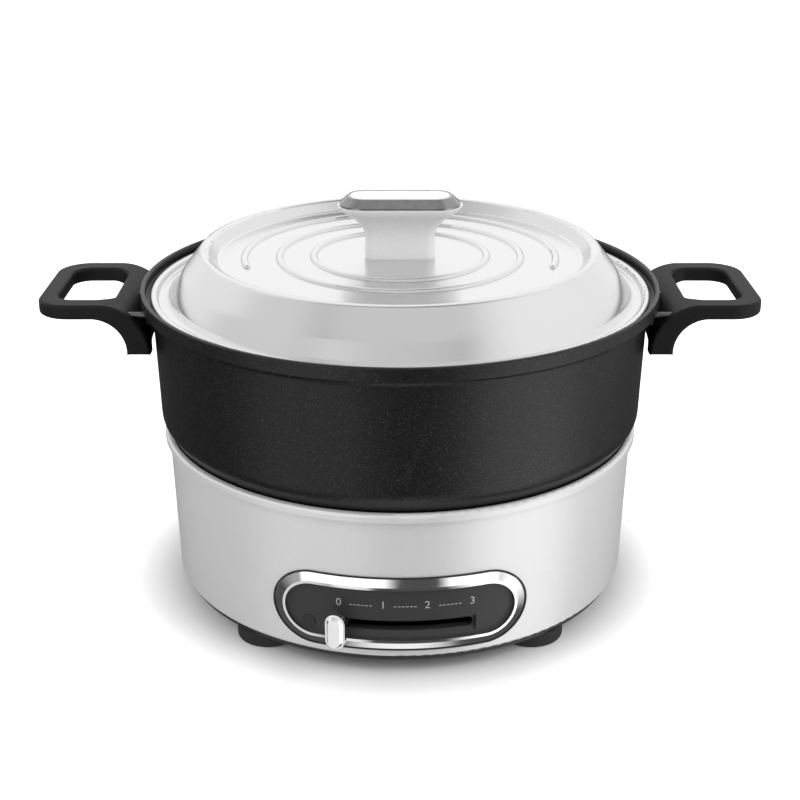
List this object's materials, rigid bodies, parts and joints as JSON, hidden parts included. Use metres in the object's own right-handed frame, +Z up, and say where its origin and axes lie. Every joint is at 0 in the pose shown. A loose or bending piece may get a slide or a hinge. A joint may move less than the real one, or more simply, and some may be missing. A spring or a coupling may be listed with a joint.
{
  "type": "electric multicooker",
  "caption": "Round electric multicooker: a heater base with a slider control, a deep black pot with two side handles that lifts out, and a silver lid that lifts off by its handle.",
  "frame": {"origin": "on the floor under the middle of the round base", "axes": "+Z up; the control panel faces -Y and the power inlet +Y; the two pot handles lie along X"},
  "size_m": [0.398, 0.29, 0.2264],
  "materials": {
    "shell_paint": "satin, pale silver-white",
    "cover_plastic": "fine matt",
    "foot_rubber": "matt",
    "steel": "plain",
    "plate_aluminium": "cast and turned",
    "lever_plastic": "moulded",
    "brass": "plain",
    "panel_plastic": "fine satin",
    "chrome": "polished",
    "lens_plastic": "dark tinted",
    "inlet_plastic": "moulded",
    "fuse_body": "plain",
    "wire_brown": "smooth sleeve",
    "wire_blue": "smooth sleeve",
    "wire_green": "smooth sleeve",
    "pot_coating": "speckled black non-stick coating",
    "handle_plastic": "satin",
    "lid_aluminium": "satin silver",
    "stem_plastic": "pale, smooth",
    "washer_rubber": "soft"
  },
  "bodies": {
    "base": {"base_shell": "shell_paint", "top_ring": "shell_paint", "bottom_cover": "cover_plastic", "foot_front_left": "foot_rubber", "foot_front_right": "foot_rubber", "foot_rear_left": "foot_rubber", "foot_rear_right": "foot_rubber", "foot_screws": "steel", "cover_screws": "steel", "heater_posts": "steel", "heater_screws": "steel", "heating_plate": "plate_aluminium", "heating_element": "steel", "inner_pan": "steel", "thermostat_body": "lever_plastic", "thermostat_tabs": "brass", "lever_pivot": "steel", "pivot_clip": "steel", "control_panel": "panel_plastic", "panel_bezel": "chrome", "indicator_lens": "lens_plastic", "indicator_lamp": "lens_plastic", "inlet_housing": "inlet_plastic", "inlet_pins": "brass", "thermal_fuse": "fuse_body", "fuse_clip": "steel", "wire_live": "wire_brown", "wire_neutral": "wire_blue", "wire_earth": "wire_green", "wire_thermostat": "wire_brown", "wire_element": "wire_brown"},
    "slider": {"slider_lever": "lever_plastic", "slider_knob": "chrome"},
    "thermostat_shaft": {"thermostat_spindle": "steel", "thermostat_pinion": "lever_plastic"},
    "pot": {"pot": "pot_coating", "handle_left": "handle_plastic", "handle_right": "handle_plastic", "handle_pins": "steel", "handle_screws": "steel"},
    "lid": {"lid": "lid_aluminium", "lid_handle_stem": "stem_plastic", "lid_handle_trim": "chrome", "lid_handle_cap": "stem_plastic", "lid_screws": "steel", "lid_washers": "washer_rubber"}
  },
  "joints": [
    {"name": "pot_lift", "type": "slide", "parent": "base", "child": "pot", "axis": [0, 0, 1], "range_m": [0, 0.15]},
    {"name": "lid_lift", "type": "slide", "parent": "pot", "child": "lid", "axis": [0, 0, 1], "range_m": [0, 0.15]},
    {"name": "lever_swing", "type": "hinge", "parent": "base", "child": "slider", "pos_m": [0, 0, 0.0296], "axis": [0, 0, 1], "range_deg": [0, 28.4]},
    {"name": "thermostat_turn", "type": "hinge", "parent": "base", "child": "thermostat_shaft", "pos_m": [0.0811, 0, 0.0296], "axis": [0, 0, 1], "range_deg": [-229, 2]}
  ],
  "couplings": [
    {"joint": "thermostat_turn", "follows": "lever_swing", "ratio": -8}
  ]
}
